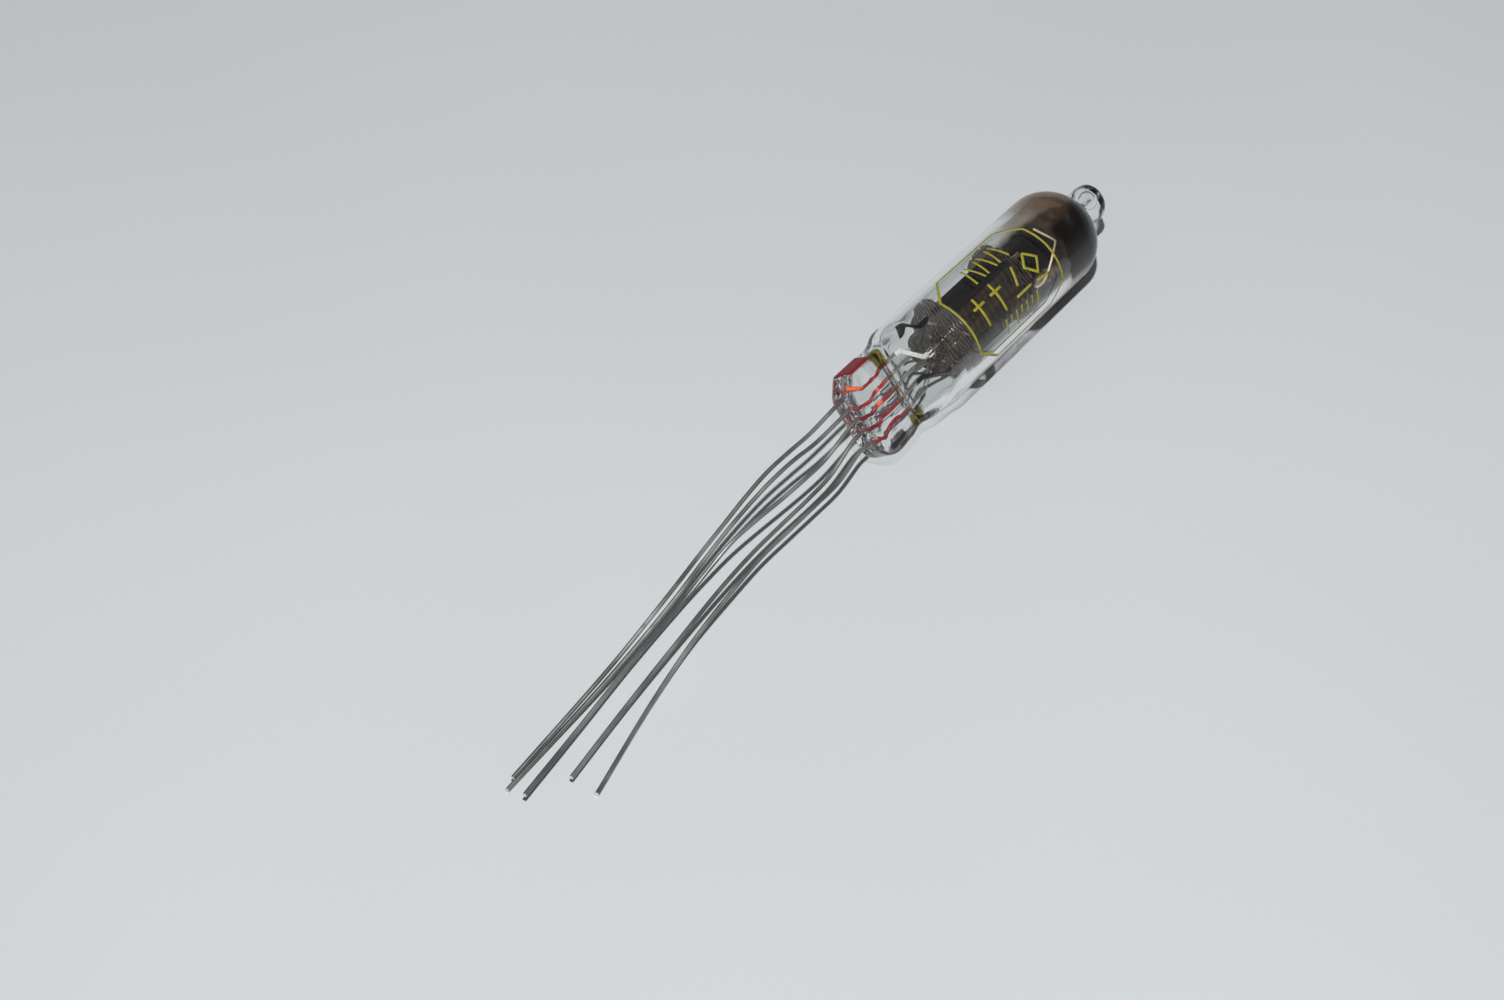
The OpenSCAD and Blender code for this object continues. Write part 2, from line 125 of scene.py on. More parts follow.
class Value:
    """One output socket, so that shader maths is written as an expression"""

    def __init__(self, shade, socket):
        self.shade = shade
        self.socket = socket

    def maths(self, operation, *others, clamp=False):
        inputs = dict(enumerate((self,) + others))
        return self.shade.node("Math", {"operation": operation, "use_clamp": clamp}, inputs)

    def __add__(self, other):
        return self.maths("ADD", other)

    def __sub__(self, other):
        return self.maths("SUBTRACT", other)

    def __rsub__(self, other):
        return self.shade.node("Math", {"operation": "SUBTRACT"}, {0: other, 1: self})

    def __mul__(self, other):
        return self.maths("MULTIPLY", other)

    def __pow__(self, other):
        return self.maths("POWER", other)

    def __gt__(self, other):
        return self.maths("GREATER_THAN", other)

    def __neg__(self):
        return self.maths("MULTIPLY", -1.0)

    __radd__ = __add__
    __rmul__ = __mul__

    def abs(self):
        return self.maths("ABSOLUTE")

    def sin(self):
        return self.maths("SINE")

    def clamped(self):
        return self.maths("ADD", 0.0, clamp=True)

    def maximum(self, other):
        return self.maths("MAXIMUM", other)

    def smooth(self, low, high):
        """0 below low, 1 above high, eased between them"""
        node = self.shade.raw("MapRange", {"interpolation_type": "SMOOTHSTEP"},
                              {"Value": self, "From Min": low, "From Max": high})
        return Value(self.shade, node.outputs[0])


    def between(self, rise, fall):
        """1 between two eased edges, each given as (low, high), and 0 outside them"""
        return self.smooth(*rise) * (1.0 - self.smooth(*fall))


class Nodes:
    """A tree of shader nodes, of a material, of the world or of a lamp"""

    def __init__(self, tree):
        self.tree = tree

    def raw(self, kind, options=None, inputs=None):
        node = self.tree.nodes.new("ShaderNode" + kind)
        for key, value in (options or {}).items():
            setattr(node, key, value)
        for key, value in (inputs or {}).items():
            self.feed(node.inputs[key], value)
        return node

    def feed(self, socket, value):
        if isinstance(value, Value):
            self.tree.links.new(value.socket, socket)
        elif socket.type == "RGBA" and not isinstance(value, float) and len(value) == 3:
            socket.default_value = (*value, 1.0)
        else:
            socket.default_value = value

    def node(self, kind, options=None, inputs=None, output=0):
        return Value(self, self.raw(kind, options, inputs).outputs[output])

    def axes(self, vector):
        split = self.raw("SeparateXYZ", None, {0: vector})
        return [Value(self, socket) for socket in split.outputs]

    def ray(self, kind):
        return self.node("LightPath", output=kind)


class Shade(Nodes):
    """The node tree of one material"""

    def __init__(self, name):
        self.material = bpy.data.materials.new(name)
        self.material.use_nodes = True
        super().__init__(self.material.node_tree)
        self.tree.nodes.clear()
        self.output = self.tree.nodes.new("ShaderNodeOutputMaterial")

    def place(self, scale=(1, 1, 1), turn=(0, 0, 0)):
        coords = self.node("TexCoord", output="Object")
        return self.node("Mapping", None, {"Vector": coords, "Rotation": turn, "Scale": scale})

    def in_cage(self):
        """X, Y and Z in millimetres, with Y across the flat press and Z square to it"""
        turned = self.place(scale=(1 / MM,) * 3, turn=(-settings().bulb.roll, 0, 0))
        return self.axes(turned)

    def noise(self, vector, scale, detail=3.0, rough=0.55):
        inputs = {"Vector": vector, "Scale": scale, "Detail": detail, "Roughness": rough}
        return self.node("TexNoise", None, inputs)

    def mix(self, factor, first, second):
        """The first colour where the factor is 0 and the second where it is 1"""
        node = self.raw("Mix", {"data_type": "RGBA"})
        self.feed(node.inputs[0], factor)
        self.feed(node.inputs[6], first)
        self.feed(node.inputs[7], second)
        return Value(self, node.outputs[2])

    def bump(self, height, strength, distance):
        return self.node("Bump", None, {"Height": height, "Strength": strength, "Distance": distance})

    def principled(self, **inputs):
        names = {key.replace("_", " ").title(): value for key, value in inputs.items()}
        fixed = {"Ior": "IOR", "Specular Ior Level": "Specular IOR Level"}
        return self.node("BsdfPrincipled", None, {fixed.get(k, k): v for k, v in names.items()})

    def see_through(self, *tone):
        return self.node("BsdfTransparent", None, {"Color": (*tone, 1.0)})

    def either(self, factor, first, second):
        """The first shader where the factor is 0 and the second where it is 1"""
        return self.node("MixShader", None, {0: factor, 1: first, 2: second})

    def finish(self, shader):
        self.tree.links.new(shader.socket, self.output.inputs[0])
        return self.material


def tinted(rgb, factor):
    return tuple(min(1.0, c * factor) for c in rgb)


# Finishes

# Where the glass's olive tint and painted dark edge fade in and out along the bulb, in millimetres from the
# origin
OLIVE_BAND = ((-17.8, -17.5), (-16.1, -15.7))
OLIVE_BRIDGE = ((-17.8, -17.6), (-17.1, -16.9))
SIDE_EDGE_SHADE = ((-20.4, -20.0), (-17.0, -16.2))
DIE_MARKS_X = -21.2
DIE_MARKS_PITCH = 1.9
STRAIGHT_AFTER = 3.5     # light that has passed more surfaces than this goes straight on


def glass_finish():
    """Clear glass with an olive tint round the hollow's end, die marks on the press, and painted dark edges
    and limbs
    """
    f = settings().finishes
    s = Shade("Bulb glass")
    x, y, z = s.in_cage()
    _, across, _ = s.axes(s.place(scale=(1 / MM,) * 3))
    grain = s.noise(s.place(), 260.0, 4.0)
    smear = s.noise(s.place(scale=(0.5, 1.0, 1.0)), 700.0, 3.0)
    side = y.abs()
    near = z.smooth(0.2, 0.8)
    fine = s.noise(s.place(), 1100.0, 3.0)
    ragged = x + (grain - 0.5) * 1.8 + (fine - 0.5) * 0.5
    outward = ragged + y.smooth(1.5, 3.0) * 0.55
    # Olive tint round the hollow's end, only on the near face: partly stain, partly a painted reflection of
    # the dark inside
    band = near * outward.between(*OLIVE_BAND) * side.smooth(2.2, 2.8)
    bridge = near * ragged.between(*OLIVE_BRIDGE) * 0.7
    # Painted shade: a dark red-brown edge round the press's lobe and along its side, standing in for dark
    # wires seen refracted through the rounded glass
    from_lobe = ((x - (LOBE_END + LOBE_R)) ** 2.0 + (y + LOBE_Y) ** 2.0) ** 0.5
    lobe_rim = from_lobe.smooth(2.22, 2.38) * (-y).smooth(1.0, 1.8) * (1.0 - x.smooth(-19.6, -19.0))
    side_rim = (-y).smooth(3.95, 4.15) * x.between(*SIDE_EDGE_SHADE)
    edge_shade = lobe_rim.maximum(side_rim) * z.abs().smooth(0.9, 1.2)
    clear = s.mix(smear.smooth(0.35, 0.75), (0.985, 0.992, 0.988), (0.93, 0.945, 0.935))
    tint = s.mix(band.maximum(bridge), clear, f.olive)
    tint = s.mix(edge_shade * 0.95, tint, (0.045, 0.014, 0.014))
    # Painted shade: the glass is tinted darker where it is seen at a grazing angle, along the bulb's limbs and
    # round the dome
    facing = s.raw("LayerWeight", None, {"Blend": 0.5})
    rim = Value(s, facing.outputs["Facing"])
    wall_limb_shade = rim.smooth(0.80, 0.97) * x.smooth(-12.0, -9.0) * 0.5
    dome_limb_shade = rim.smooth(0.62, 0.86) * x.smooth(11.0, 13.0)
    tint = s.mix(wall_limb_shade.maximum(dome_limb_shade), tint, (0.06, 0.04, 0.035))
    on_press = (1.0 - x.smooth(-17.8, -17.2)) * (1.0 - side.smooth(3.2, 3.8))
    panes = ((y * (math.pi * MM / settings().wires.pitch)).sin().abs().smooth(0.25, 0.75)
             * ((x - DIE_MARKS_X) * (math.pi / DIE_MARKS_PITCH)).sin().abs().smooth(0.2, 0.6))
    glass = s.principled(
        base_color=tint, roughness=grain.smooth(0.55, 0.85) * 0.03 + 0.004,
        ior=1.49, transmission_weight=1.0, specular_ior_level=0.5,
        normal=s.bump(panes * on_press + (grain - 0.5) * on_press * 1.2, 0.14, 0.00012))
    return s.finish(s.either(passing_light(s), glass, glass_shadow(s, x, across, rim, grain)))


def glass_shadow(s, x, across, rim, grain):
    """What the glass lets through to the table: clear in the middle, with a dark band along its lower side"""
    limb = rim.smooth(0.45, 0.85) * (x.smooth(-18.0, -14.0) * 0.7 + 0.3)
    cast = s.either(limb, s.see_through(0.95, 0.955, 0.955), s.see_through(0.72, 0.72, 0.73))
    far_end = (x.smooth(2.4, 3.2) * 0.9 + x.smooth(-8.2, -7.8) * grain.smooth(0.35, 0.65) * 0.6
               + (0.9 - (x + 7.0).abs()).smooth(0.0, 0.2) * 0.8)
    lower = (0.5 - across).smooth(0.0, 1.5)
    dark = rim.smooth(0.18, 0.42) * far_end.clamped() * lower
    return s.either(dark, cast, s.see_through(0.06, 0.05, 0.045))


def passing_light(s):
    """1 for light on its way to a rough surface, and for light that has already passed many surfaces"""
    plain = s.ray("Is Shadow Ray").maximum(s.ray("Is Diffuse Ray"))
    return plain.maximum(s.ray("Ray Depth") > STRAIGHT_AFTER)


def tin_finish():
    f = settings().finishes
    s = Shade("Tinned wire")
    along = s.noise(s.place(scale=(0.15, 1.0, 1.0)), 2600.0, 3.0)
    patch = s.noise(s.place(scale=(0.35, 1, 1)), 420.0, 4.0)
    base = s.mix(patch.smooth(0.35, 0.7), tinted(f.tin, 0.6), tinted(f.tin, 1.4))
    base = s.mix(along.smooth(0.62, 0.8) * 0.6, base, (0.085, 0.075, 0.06))
    shader = s.principled(
        base_color=base, metallic=0.85, roughness=patch * 0.2 + 0.36,
        normal=s.bump(along, 0.25, 0.00002))
    return s.finish(shader)


def seal_finish():
    """Crimson where the oxide is thick, with bright orange spots painted as highlights, and a faint painted
    glow
    """
    f = settings().finishes
    s = Shade("Copper-clad seal wire")
    spots = s.noise(s.place(scale=(0.8, 1, 1)), 620.0, 2.0)
    fine = s.noise(s.place(), 3500.0, 2.0)
    base = s.mix(spots.smooth(0.40, 0.62), (0.16, 0.006, 0.014), f.seal)
    # Painted highlights: small bright orange spots
    base = s.mix(spots.smooth(0.60, 0.68), base, (0.95, 0.17, 0.06))
    base = s.mix(fine.smooth(0.62, 0.75) * 0.5, base, (0.12, 0.01, 0.012))
    x, _, _ = s.in_cage()
    base = s.mix((x + (spots - 0.5) * 1.2).smooth(-17.4, -16.9), base, (0.20, 0.11, 0.085))
    # A faint painted glow, as if the wire were lit from within
    shader = s.principled(
        base_color=base, metallic=0.1, roughness=fine * 0.2 + 0.35, coat_weight=0.4,
        emission_color=base, emission_strength=0.05, normal=s.bump(fine, 0.3, 0.00003))
    return s.finish(shader)


def nickel_finish(name="Drawn nickel", tone=1.0, warm=(1.0, 1.0, 1.0)):
    f = settings().finishes
    s = Shade(name)
    drawn = s.noise(s.place(scale=(0.06, 1.0, 1.0)), 5200.0, 3.0)
    cloud = s.noise(s.place(), 650.0, 3.0)
    metal = tuple(min(1, c * tone * w) for c, w in zip(f.nickel, warm))
    base = s.mix(cloud.smooth(0.35, 0.7), tinted(metal, 0.72), tinted(metal, 1.28))
    base = s.mix(drawn.smooth(0.58, 0.75) * 0.5, base, tinted(metal, 0.45))
    shader = s.principled(
        base_color=base, metallic=1.0, roughness=cloud * 0.18 + 0.18,
        normal=s.bump(drawn, 0.22, 0.00002))
    return s.finish(shader)


def bright_finish(name, tone, painted_glow):
    """Clean metal that scatters the lamp's light, with a faint painted glow standing in for what the glass
    would throw on it
    """
    s = Shade(name)
    rolled = s.noise(s.place(scale=(0.1, 1.0, 1.0)), 3600.0, 3.0)
    base = s.mix(rolled.smooth(0.35, 0.7), tinted(tone, 0.82), tone)
    shader = s.principled(
        base_color=base, metallic=0.3, roughness=rolled * 0.15 + 0.32, normal=s.bump(rolled, 0.2, 0.00002),
        emission_color=base, emission_strength=painted_glow)
    return s.finish(shader)


def carbon_finish():
    """Black above a height across the cage, which is painted shade on the side wall, and browner and ribbed on
    the face below
    """
    f = settings().finishes
    s = Shade("Carbonised sheet")
    x, y, _ = s.in_cage()
    soot = s.noise(s.place(), 1500.0, 5.0, 0.65)
    rub = s.noise(s.place(scale=(0.12, 1, 1)), 1800.0, 4.0)
    ribs = (x * 7.5 + rub * 2.0).sin()
    # Painted shade: black on the side wall above this height, brown-grey on the lit face below it
    lit_face = (2.05 - y + (soot - 0.5) * 0.3).smooth(0.0, 0.25)
    streaks = ribs.smooth(-0.6, 1.2) * 0.5 + rub.smooth(0.3, 0.7) * 0.5
    brown = s.mix(streaks, (0.020, 0.014, 0.010), (0.058, 0.043, 0.031))
    base = s.mix(soot.smooth(0.3, 0.75), tinted(f.carbon, 0.5), tinted(f.carbon, 1.5))
    base = s.mix(lit_face, base, brown)
    base = s.mix(rub.smooth(0.66, 0.84) * lit_face * 0.7, base, (0.12, 0.10, 0.085))
    shader = s.principled(
        base_color=base, roughness=soot * 0.2 + 0.72, specular_ior_level=0.06,
        normal=s.bump(soot, 0.5, 0.00004))
    return s.finish(shader)


def mica_finish():
    """Brown-grey sheet mica: flaked, finely pleated, and shiny enough to mirror the wires"""
    f = settings().finishes
    s = Shade("Sprayed mica")
    _, y, z = s.in_cage()
    flake = s.noise(s.place(scale=(6, 1, 1)), 900.0, 4.0)
    broad = s.noise(s.place(), 330.0, 3.0)
    spray = s.noise(s.place(), 5200.0, 2.0)
    pleats = (z * 13.0 + y * 3.0 + flake * 9.0 + broad * 8.0).sin()
    scratch = s.noise(s.place(scale=(1.0, 0.25, 1.6), turn=(-settings().bulb.roll, 0, 0)), 1500.0, 3.0)
    base = s.mix(flake.smooth(0.3, 0.75), tinted(f.mica, 0.15), tinted(f.mica, 0.65))
    base = s.mix(pleats.smooth(0.3, 0.9) * broad.smooth(0.3, 0.6) * 0.7, base, tinted(f.mica, 2.2))
    base = s.mix(scratch.smooth(0.62, 0.70) * 0.7, base, tinted(f.mica, 6.0))
    base = s.mix(broad.smooth(0.5, 0.7) * 0.6, base, tinted(f.mica, 0.35))
    base = s.mix(spray.smooth(0.64, 0.74) * 0.5, base, (0.55, 0.50, 0.46))
    shader = s.principled(
        base_color=base, roughness=flake * 0.12 + 0.08, ior=1.55, coat_weight=0.3, coat_roughness=0.05,
        normal=s.bump(pleats * 0.6 + spray * 0.4, 0.4, 0.00005))
    return s.finish(shader)


def chalk_finish(name, tone):
    s = Shade(name)
    grain = s.noise(s.place(), 4200.0, 4.0, 0.7)
    stain = s.noise(s.place(), 700.0, 3.0)
    base = s.mix(grain.smooth(0.3, 0.8), tinted(tone, 0.82), tone)
    base = s.mix(stain.smooth(0.6, 0.8) * 0.4, base, tinted(tone, 0.6))
    shader = s.principled(base_color=base, roughness=grain * 0.1 + 0.85, normal=s.bump(grain, 0.6, 0.00003))
    return s.finish(shader)


def film_finish():
    """Black in a band across the middle, starting nearer the cage on the far side, with a thin brown veil
    round it
    """
    f = settings().finishes
    s = Shade("Getter film")
    x, y, z = s.in_cage()
    cloud = s.noise(s.place(), 420.0, 4.0)
    ragged = s.noise(s.place(), 1300.0, 4.0)
    rough_y = y + (cloud - 0.5) * 1.0 + (ragged - 0.5) * 0.5
    reach = x + (cloud - 0.5) * 1.2 + (ragged - 0.5) * 1.4
    middle = rough_y.between((-3.6, -2.9), (1.7, 3.2))
    near = z.smooth(-1.0, 1.5)
    black_band = middle * (reach.smooth(5.2, 6.0) * (1.0 - near) + reach.smooth(7.4, 8.2) * near)
    veil = reach.smooth(5.8, 11.5) * 0.38 + x.smooth(12.0, 15.0) * 0.3
    brown = s.mix(cloud.smooth(0.35, 0.65), (0.085, 0.045, 0.027), (0.18, 0.11, 0.072))
    base = s.mix(black_band, brown, f.film)
    shader = s.principled(
        base_color=base, roughness=cloud * 0.1 + 0.08, specular_ior_level=0.1,
        normal=s.bump(cloud, 0.2, 0.00005))
    passed = s.either(veil.smooth(0.0, 0.4), s.see_through(1.0, 1.0, 1.0), s.see_through(0.74, 0.64, 0.56))
    return s.finish(s.either((black_band * 0.97).maximum(veil), passed, shader))


def fired_finish():
    s = Shade("Fired getter metal")
    crust = s.noise(s.place(), 1800.0, 4.0, 0.65)
    base = s.mix(crust.smooth(0.35, 0.7), (0.018, 0.014, 0.012), (0.10, 0.08, 0.065))
    shader = s.principled(
        base_color=base, metallic=0.4, roughness=crust * 0.3 + 0.5, normal=s.bump(crust, 0.7, 0.00006))
    return s.finish(shader)


def ink_finish(name, tone, dark_below=None):
    """Matt print that casts hardly any shadow through the glass, and can darken below a height"""
    s = Shade(name)
    grain = s.noise(s.place(), 2600.0, 3.0)
    worn = s.noise(s.place(), 6500.0, 2.0)
    base = s.mix(grain.smooth(0.3, 0.7), tinted(tone, 0.8), tinted(tone, 1.12))
    if dark_below is not None:
        _, _, z = s.in_cage()
        base = s.mix(z.smooth(dark_below, dark_below + 0.35), tinted(tone, 0.08), base)
    shader = s.principled(
        base_color=base, roughness=grain * 0.2 + 0.45, alpha=worn.smooth(0.24, 0.36),
        normal=s.bump(grain, 0.3, 0.00002))
    return s.finish(s.either(s.ray("Is Shadow Ray"), shader, s.see_through(0.92, 0.92, 0.92)))


def table_finish():
    f = settings().finishes
    s = Shade("Pale table")
    broad = s.noise(s.place(), 12.0, 2.0)
    grain = s.noise(s.place(), 900.0, 4.0)
    base = s.mix(broad.smooth(0.3, 0.7), tinted(f.table, 0.985), tinted(f.table, 1.015))
    base = s.mix(grain.smooth(0.4, 0.8) * 0.12, base, tinted(f.table, 0.95))
    shader = s.principled(base_color=base, roughness=grain * 0.1 + 0.55, specular_ior_level=0.3)
    return s.finish(shader)


def paint(thing, material):
    mesh = thing.data
    if not mesh.materials:
        mesh.materials.append(material)
    for index in range(len(mesh.materials)):
        mesh.materials[index] = material


# Mesh helpers

def start_clean():
    if bpy.context.object and bpy.context.object.mode != "OBJECT":
        bpy.ops.object.mode_set(mode="OBJECT")
    bpy.ops.object.select_all(action="DESELECT")


def pick(*things):
    """Selects these objects alone, and makes the last of them active"""
    start_clean()
    for thing in things:
        thing.select_set(True)
    bpy.context.view_layer.objects.active = things[-1]


@contextmanager
def editing(thing, select="SELECT"):
    """Opens a mesh in edit mode with all of it selected, or with none of it"""
    pick(thing)
    bpy.ops.object.mode_set(mode="EDIT")
    bpy.ops.mesh.select_all(action=select)
    yield
    bpy.ops.object.mode_set(mode="OBJECT")


def settle(thing, name, body="root", crease=None):
    """Names a finished piece, puts its place in its mesh, smooths it and lets it ride on the body"""
    pick(thing)
    bpy.ops.object.transform_apply(location=True, rotation=True, scale=True)
    bpy.ops.object.shade_smooth()
    thing.name = name
    thing.data.name = name
    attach(thing, body)
    if crease:
        pick(thing)
        bpy.ops.object.shade_smooth_by_angle(angle=math.radians(crease))
    return thing


def cast_in_mesh(mesh):
    """Puts finished bmesh geometry in the mesh of a new plane"""
    start_clean()
    bpy.ops.mesh.primitive_plane_add(size=MM)
    thing = bpy.context.object
    mesh.to_mesh(thing.data)
    mesh.free()
    return thing


def thickened(thing, thickness, offset=-1.0):
    """Gives a sheet of ink or paint its thickness"""
    pick(thing)
    solid = thing.modifiers.new("Thickness", "SOLIDIFY")
    solid.thickness = thickness * MM
    solid.offset = offset
    bpy.ops.object.modifier_apply(modifier=solid.name)


def cage_turn():
    return Matrix.Rotation(settings().bulb.roll, 4, "X")


def ease(x, low, high):
    t = min(1.0, max(0.0, (x - low) / (high - low)))
    return t * t * (3 - 2 * t)


def blend(table, x):
    """Reads a table of (x, value) rows with eased steps between them"""
    if x <= table[0][0]:
        return table[0][1]
    for (x0, v0), (x1, v1) in zip(table, table[1:]):
        if x <= x1:
            return v0 + (v1 - v0) * ease(x, x0, x1)
    return table[-1][1]


def straight_blend(table, x):
    """Reads a table of (x, value) rows with straight lines between them"""
    if x <= table[0][0]:
        return table[0][1]
    for (x0, v0), (x1, v1) in zip(table, table[1:]):
        if x <= x1:
            return v0 + (v1 - v0) * (x - x0) / (x1 - x0)
    return table[-1][1]


# Glass

def squircle(angle, power):
    """A point of the unit superellipse, with more of its points at the corners when it is square"""
    angle += CORNER_CROWDING * (power - 2) * math.sin(4 * angle)
    c, s = math.cos(angle), math.sin(angle)
    reach = (abs(c) ** power + abs(s) ** power) ** (-1 / power)
    return reach * c, reach * s


# The glass, in millimetres, with places along the bulb from the origin
PRESS_X = -16.2          # where the flat press starts to swell
SHOULDER_X = -11.0       # where the glass is round
LOBE_R = 2.55
LOBE_Y = 2.25
GLASS_END = -22.4        # the pressed end reaches nearly as far as the lobe
LOBE_END = -22.75
END_TAPER = 0.6
END_THINNING = 0.75
CORNER_CUT = 1.5
CORNER_DROP = 1.7
CORNER_EASE = 0.2
CORNER_DIP = 0.18
PRESS_EDGE = 4.3
PRESS_SQUARENESS = 5.0
CORNER_CROWDING = 0.1 / 6
NECK_STATIONS = ((-20.2, 4.8), (-18.3, 4.62), (-16.6, 4.25), (-14.5, 4.68), (-11.5, 5.08))
# Radius of the exhaust tip and of its bore, by distance past the crown of the dome
TIP_PROFILE = ((-1.1, 2.6), (-0.45, 1.85), (0.0, 1.55), (0.45, 1.45), (0.9, 1.58), (1.5, 1.9), (2.1, 2.0),
               (2.9, 2.0), (3.4, 1.86), (3.8, 1.5), (4.05, 1.05), (4.2, 0.55), (4.25, 0.0))
BORE_PROFILE = ((-0.3, 0.9), (0.2, 0.6), (1.2, 0.5), (1.8, 0.34), (2.2, 0.0))
BUBBLE_AT = (17.95, 0.35, 0.2)
BUBBLE_REACH = 1.05
BUBBLE_RADIUS = 0.75
BUBBLE_TAPER = 0.18
TIP_MIDDLE = 18.0
TIP_SLANT = 0.10         # the tip's end leans: its upper side reaches further than its lower
HOLLOW_END_X = -16.35
HOLLOW_NECK = ((HOLLOW_END_X, 3.3), (-15.2, 3.8))
HOLLOW_WIDE_X = -12.4
HOLLOW_HIGH_X = -10.7
HOLLOW_HALF = 0.8
HOLLOW_ROUNDING = 0.45
HOLLOW_SQUARENESS = 1.6
FILM_SUNK = 0.015
FILM_START = 5.0
GLASS_WAVE = 0.32        # waves of the press's surface for each millimetre
# Runs of stations along the glass, its hollow and the film: start, end and how many
OUTER_RUNS = ((LOBE_END + 0.001, -22.72, 2), (-22.72, -22.42, 6), (-22.42, -22.38, 1), (-22.38, -19.8, 18),
              (-19.8, PRESS_X, 18), (PRESS_X, SHOULDER_X, 30), (SHOULDER_X, 11, 12), (11, 14.2, 16),
              (14.2, 15.2, 9), (15.2, 19.0, 24), (19.0, 19.6, 6), (19.6, 19.8495, 5))
HOLLOW_RUNS = ((-16.3499, -15.9, 8), (-15.9, -10.6, 26), (-10.6, 11, 10), (11, 14, 14), (14, 14.85, 9),
               (14.85, 17.049, 16))
FILM_RUNS = ((FILM_START, 11, 12), (11, 14, 16), (14, 14.75, 8))


def domed(x, dome_start, dome, radius, profile):
    """Radius of a dome at x, run into the profile of what stands on its crown"""
    crown = dome_start + dome
    along = min(1.0, (x - dome_start) / dome)
    r = radius * math.sqrt(max(0.0, 1 - along * along))
    if x < crown + profile[0][0]:
        return r
    stem = straight_blend(profile, x - crown)
    return max(r, stem) if x < crown + profile[1][0] else stem


def outer_section(x):
    """Centre in y, half width, half height and squareness of the glass at x, in millimetres"""
    b = settings().bulb
    radius, end, half = b.radius / MM, GLASS_END, b.press_half / MM
    dome_start, dome = b.straight / MM, b.dome / MM
    if x > dome_start:
        r = domed(x, dome_start, dome, radius, TIP_PROFILE)
        return 0.0, r, r, 2.0
    lobe_x = LOBE_END + LOBE_R
    corner_y = PRESS_EDGE - CORNER_DROP
    high = straight_blend(((end, corner_y), (end + CORNER_CUT - CORNER_EASE, PRESS_EDGE - CORNER_DIP),
                           (end + CORNER_CUT + CORNER_EASE, PRESS_EDGE)), x)
    high += (radius - PRESS_EDGE) * ease(x, PRESS_X - 0.2, SHOULDER_X - 1.8)
    low = blend(NECK_STATIONS, x)
    if x < lobe_x:
        reach = math.sqrt(max(0.0, LOBE_R ** 2 - (x - lobe_x) ** 2))
        low = LOBE_Y + reach
        if x < end:
            high = reach - LOBE_Y
    height = half + (radius - half) * ease(x, PRESS_X, SHOULDER_X)
    if x < end + END_TAPER:
        height *= math.sqrt(1 - (1 - ease(x, LOBE_END, end + END_TAPER)) ** 2 * END_THINNING)
    power = 2.0 + PRESS_SQUARENESS * (1 - ease(x, PRESS_X - 0.6, SHOULDER_X - 1.4))
    return (high - low) / 2, (high + low) / 2, height, power


def inner_section(x):
    """The same four values for the hollow in the glass"""
    b = settings().bulb
    radius = (b.radius - b.wall) / MM
    dome_start, dome = b.straight / MM, (b.dome - b.wall) / MM
    if x > dome_start:
        r = domed(x, dome_start, dome, radius, BORE_PROFILE)
        return 0.0, r, r, 2.0
    wide = blend(HOLLOW_NECK + ((HOLLOW_WIDE_X, radius),), x)
    height = HOLLOW_HALF + (radius - HOLLOW_HALF) * ease(x, HOLLOW_END_X, HOLLOW_HIGH_X)
    if x < HOLLOW_END_X + HOLLOW_ROUNDING:
        left = (HOLLOW_END_X + HOLLOW_ROUNDING - x) / HOLLOW_ROUNDING
        fade = math.sqrt(max(0.0, 1 - left ** 2))
        wide, height = wide - HOLLOW_ROUNDING * (1 - fade), height * fade
    return 0.0, wide, height, 2.0 + HOLLOW_SQUARENESS * (1 - ease(x, HOLLOW_END_X, -12.0))


def film_section(x):
    """Just inside the glass's wall, so that the glass wets the film as on the real bulb"""
    _, wide, high, power = inner_section(x)
    return 0.0, wide + FILM_SUNK, high + FILM_SUNK, power


def lofted(stations, section, sides, wobble=0.0, seed=0.0):
    """A closed tube: a filled circle, extruded ring by ring, each ring then moved to its section"""
    start_clean()
    bpy.ops.mesh.primitive_circle_add(vertices=sides, radius=1.0, fill_type="NGON")
    thing = bpy.context.object
    with editing(thing):
        for _ in stations[1:]:
            bpy.ops.mesh.extrude_region_move(TRANSFORM_OT_translate={"value": (0, 0, 1)})
    mesh = bmesh.new()
    mesh.from_mesh(thing.data)
    rings = {}
    for vertex in mesh.verts:
        rings.setdefault(round(vertex.co.z), []).append(vertex)
    for level, x in enumerate(stations):
        middle, wide, high, power = section(x)
        for vertex in rings[level]:
            angle = math.atan2(vertex.co.y, vertex.co.x)
            y, z = squircle(angle, power)
            place = Vector((x, middle + wide * y, high * z))
            amount = wobble * (1 - ease(x, -13.0, -9.0)) * min(1.0, wide)
            drift = noise.noise_vector(place * GLASS_WAVE + Vector((seed, seed, seed)))
            slant = max(0.0, x - TIP_MIDDLE) * TIP_SLANT * place.y
            vertex.co = (place + Vector((slant, drift.y * amount, drift.z * amount))) * MM
    bmesh.ops.remove_doubles(mesh, verts=mesh.verts, dist=1e-7)
    bmesh.ops.recalc_face_normals(mesh, faces=mesh.faces)
    mesh.to_mesh(thing.data)
    mesh.free()
    return thing


def spaced(*runs):
    """Stations from runs of (start, end, count), each start left out after the first"""
    places = [runs[0][0]]
    for start, end, count in runs:
        places += [start + (end - start) * (i + 1) / count for i in range(count)]
    return places


